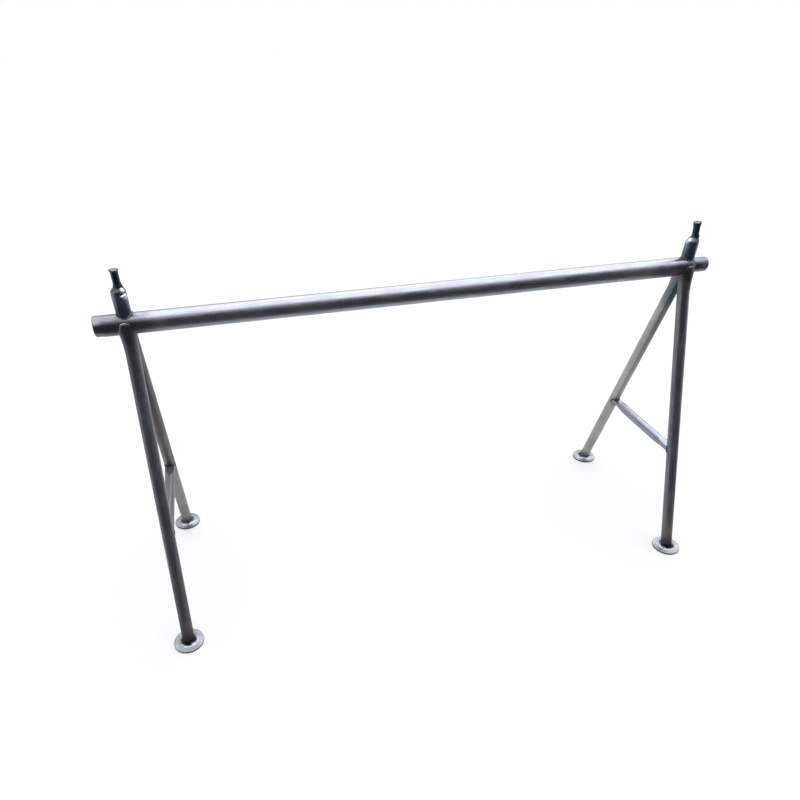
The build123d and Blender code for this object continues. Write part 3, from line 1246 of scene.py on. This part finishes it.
def apexSaddle(side):
    shape = saddleShape
    apex = apexAt[side]
    core = turnedBody("core", leftEnd, (1, 0, 0), beamStations(shape["under"]), shape["segments"])
    for facing in (-1, 1):
        trim(core, apex + Vector((facing * shape["half"], 0, 0)), (facing, 0, 0))
    bodies = [core]
    legEnds = {row: apex + (footAt[row, side] - apex).normalized() * shape["reach"] for row in rows}
    for row in rows:
        bodies.append(addRod("core", apex, legEnds[row], legRadius - shape["under"]))
        downs, thicks = shape["downs"], shape["thick"][side]
        tongue = [(down * mm, legRadius + thick * mm) for down, thick in zip(downs, thicks)]
        lap = apex + Vector((shape["shift"][side], rows[row] * shape["out"], 0))
        lapped = turnedBody("tongue", lap, legEnds[row] - lap, tongue, shape["segments"])
        tidyMesh(lapped)
        arch = tongue[0][1] + shape["archOver"]
        cutAway(lapped, archTop(Vector((lap.x, 0, apex.z + shape["archTop"][side] - arch)), arch))
        bodies.append(lapped)
    bead = joined(bodies)
    roughen(bead, "apex")
    fitToBeam(bead, shape["under"], "MANIFOLD")
    for row in rows:
        past = (legEnds[row] - apex) * shape["past"]
        cutAway(bead, addRod("cutter", apex, apex + past, legRadius - shape["under"]), "MANIFOLD")
    bead = withoutScraps(bead)
    finishBead(bead, f"{side}_apex_weld", "apex", side)


# The bead round a post: a thread laid in the corner, thick on one side
threadShape = {
    "thin": 1.3 * mm,
    "thick": {"left": 3.4 * mm, "right": 2.2 * mm},
    "heading": {"left": -15, "right": 205},
    "points": 72,
}


def postBead(side):
    shape = threadShape
    low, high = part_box(f"{side}_post")
    radius = (high - low).x / 2
    stops = []
    for step in range(shape["points"]):
        around = radians(360 * step / shape["points"])
        place, back = apexAt[side].x + radius * cos(around), radius * sin(around)
        facing = max(0, cos(around - radians(shape["heading"][side])))
        thick = shape["thin"] + (shape["thick"][side] - shape["thin"]) * facing ** 2
        stops.append((Vector((place, back, beamHeight + sqrt(radiusAt(place) ** 2 - back ** 2))), thick))
    bead = thread(stops)
    roughen(bead, "post")
    finishBead(bead, f"{side}_post_weld", "post", side)


# Foot beads: a hollow-sided collar with broken facets
collarShape = {
    "segments": 48,
    # height over the plate, and thickness on the leg there
    "steps": [(-3, 17.0), (0, 11.5), (1.2, 8.6), (2.2, 6.0), (3.8, 3.6), (6.5, 1.6), (10, 0.3), (13, -1.5)],
    "level": 5 * mm,  # centred on the leg at this height
    "facets": 0.12,
    "facetAngle": 18,
}


def footCollar(row, side):
    shape = collarShape
    foot, rise = footAt[row, side], apexAt[side] - footAt[row, side]
    stations = [(up * mm, legRadius + thick * mm) for up, thick in shape["steps"]]
    centre = foot + rise * (shape["level"] / rise.z)
    seat = Vector((centre.x, centre.y, foot.z))
    bead = turnedBody("collar", seat, upward, stations, shape["segments"])
    roughen(bead, "foot")
    useModifier(bead, "DECIMATE", ratio=shape["facets"])
    finishBead(bead, f"{row}_{side}_foot_weld", "foot", side, row)
    pickOnly(bead)
    bpy.ops.object.shade_smooth_by_angle(angle=radians(shape["facetAngle"]))


for side in sides:
    apexSaddle(side)
    postBead(side)
    pinBead(side)
for row, side in corners:
    footCollar(row, side)
    braceBead(row, side)
print("weld beads done")


# Stage: white floor, soft light from above, a dark card in front for the steel to reflect

stageSetup = {
    "floorSize": 60.0,
    "floorColour": (0.4, 0.4, 0.4),
    "floorGlow": 0.38,
    "floorDrop": 0.2 * mm,
    "paperRoughness": 0.9,
    "skyFill": 0.35,
    "keyStrength": 4.65,
    "keyColour": (0.94, 0.97, 1.0),
    "keyAngle": 92,
    "keyBack": 13,  # degrees back from straight above
    "keyRight": 14,
    "cardColour": (0.05, 0.05, 0.055),
    # dark cards that only the steel sees: one behind the camera, one on the floor before it
    "cards": [
        ("standingCard", (0, -1.7, 1.05), 90, (7, 2.1)),
        ("floorCard", (0, -1.48, 0.002), 0, (7, 2.2)),
    ],
}


def seenDirectly(tree):  # 1 for what the camera sees, also in metal and through glass
    path = addNode(tree, "LightPath").outputs
    either = calc(tree, "MAXIMUM", path["Is Camera Ray"], path["Is Glossy Ray"])
    return calc(tree, "MAXIMUM", either, path["Is Transmission Ray"])


def stage():
    setup = stageSetup
    white = (1, 1, 1, 1)
    pickNothing()
    bpy.ops.mesh.primitive_plane_add(size=setup["floorSize"], location=(0, 0, -setup["floorDrop"]))
    floor = named("floor")
    paper, tree, shader = newFinish("floorPaper")[:3]
    glow = calc(tree, "MULTIPLY", seenDirectly(tree), setup["floorGlow"])
    feed(tree, shader, {"Base Color": rgba(setup["floorColour"]), "Roughness": setup["paperRoughness"]})
    feed(tree, shader, {"Specular IOR Level": 0.0, "Emission Color": white, "Emission Strength": glow})
    floor.data.materials.append(paper)

    dull, tree, shader = newFinish("cardPaper")[:3]
    feed(tree, shader, {"Base Color": rgba(setup["cardColour"]), "Roughness": setup["paperRoughness"]})
    for name, place, turn, size in setup["cards"]:
        pickNothing()
        bpy.ops.mesh.primitive_plane_add(size=1, location=place, rotation=(radians(turn), 0, 0))
        bpy.context.object.scale = (*size, 1)
        card = named(name)
        card.data.materials.append(dull)
        card.visible_camera = card.visible_diffuse = card.visible_shadow = False

    world = bpy.data.worlds.new("studio")
    bpy.context.scene.world = world
    world.use_nodes = True
    tree = world.node_tree
    fill = setup["skyFill"]
    level = calc(tree, "ADD", calc(tree, "MULTIPLY", seenDirectly(tree), 1 - fill), fill)
    feed(tree, tree.nodes["Background"], {"Color": white, "Strength": level})

    key = bpy.data.lights.new("softKey", "SUN")
    key.energy = setup["keyStrength"]
    key.color = setup["keyColour"]
    key.angle = radians(setup["keyAngle"])
    lamp = bpy.data.objects.new("softKey", key)
    lamp.rotation_euler = (radians(-setup["keyBack"]), radians(setup["keyRight"]), 0)
    bpy.context.scene.collection.objects.link(lamp)


# Camera, as the photograph was taken: place and turn in the frame, focal length and centre in pixels

photoView = {
    "place": Vector((-0.4944, -1.4158, 1.3636)),
    "yaw": 13.61,
    "pitch": 37.98,
    "roll": 0.81,
    "focal": 606.0,
    "centre": (374.55, 487.08),
    "frame": 800,
}


def photoCamera():
    view = photoView
    yaw, pitch, roll = (radians(view[key]) for key in ("yaw", "pitch", "roll"))
    ahead = Vector((sin(yaw) * cos(pitch), cos(yaw) * cos(pitch), -sin(pitch)))
    right = Vector((cos(yaw), -sin(yaw), 0))
    down = ahead.cross(right)
    across = cos(roll) * right + sin(roll) * down
    below = cos(roll) * down - sin(roll) * right
    lens = bpy.data.cameras.new("photoCamera")
    lens.sensor_width = 36
    lens.lens = view["focal"] / view["frame"] * lens.sensor_width
    lens.shift_x = (view["frame"] / 2 - view["centre"][0]) / view["frame"]
    lens.shift_y = (view["centre"][1] - view["frame"] / 2) / view["frame"]
    camera = bpy.data.objects.new("photoCamera", lens)
    turn = Matrix((across, -below, -ahead)).transposed().to_4x4()
    camera.matrix_world = Matrix.Translation(view["place"]) @ turn
    bpy.context.scene.collection.objects.link(camera)
    bpy.context.scene.camera = camera


stage()
photoCamera()
bpy.context.scene.view_settings.view_transform = "Standard"
print("stage and camera done")
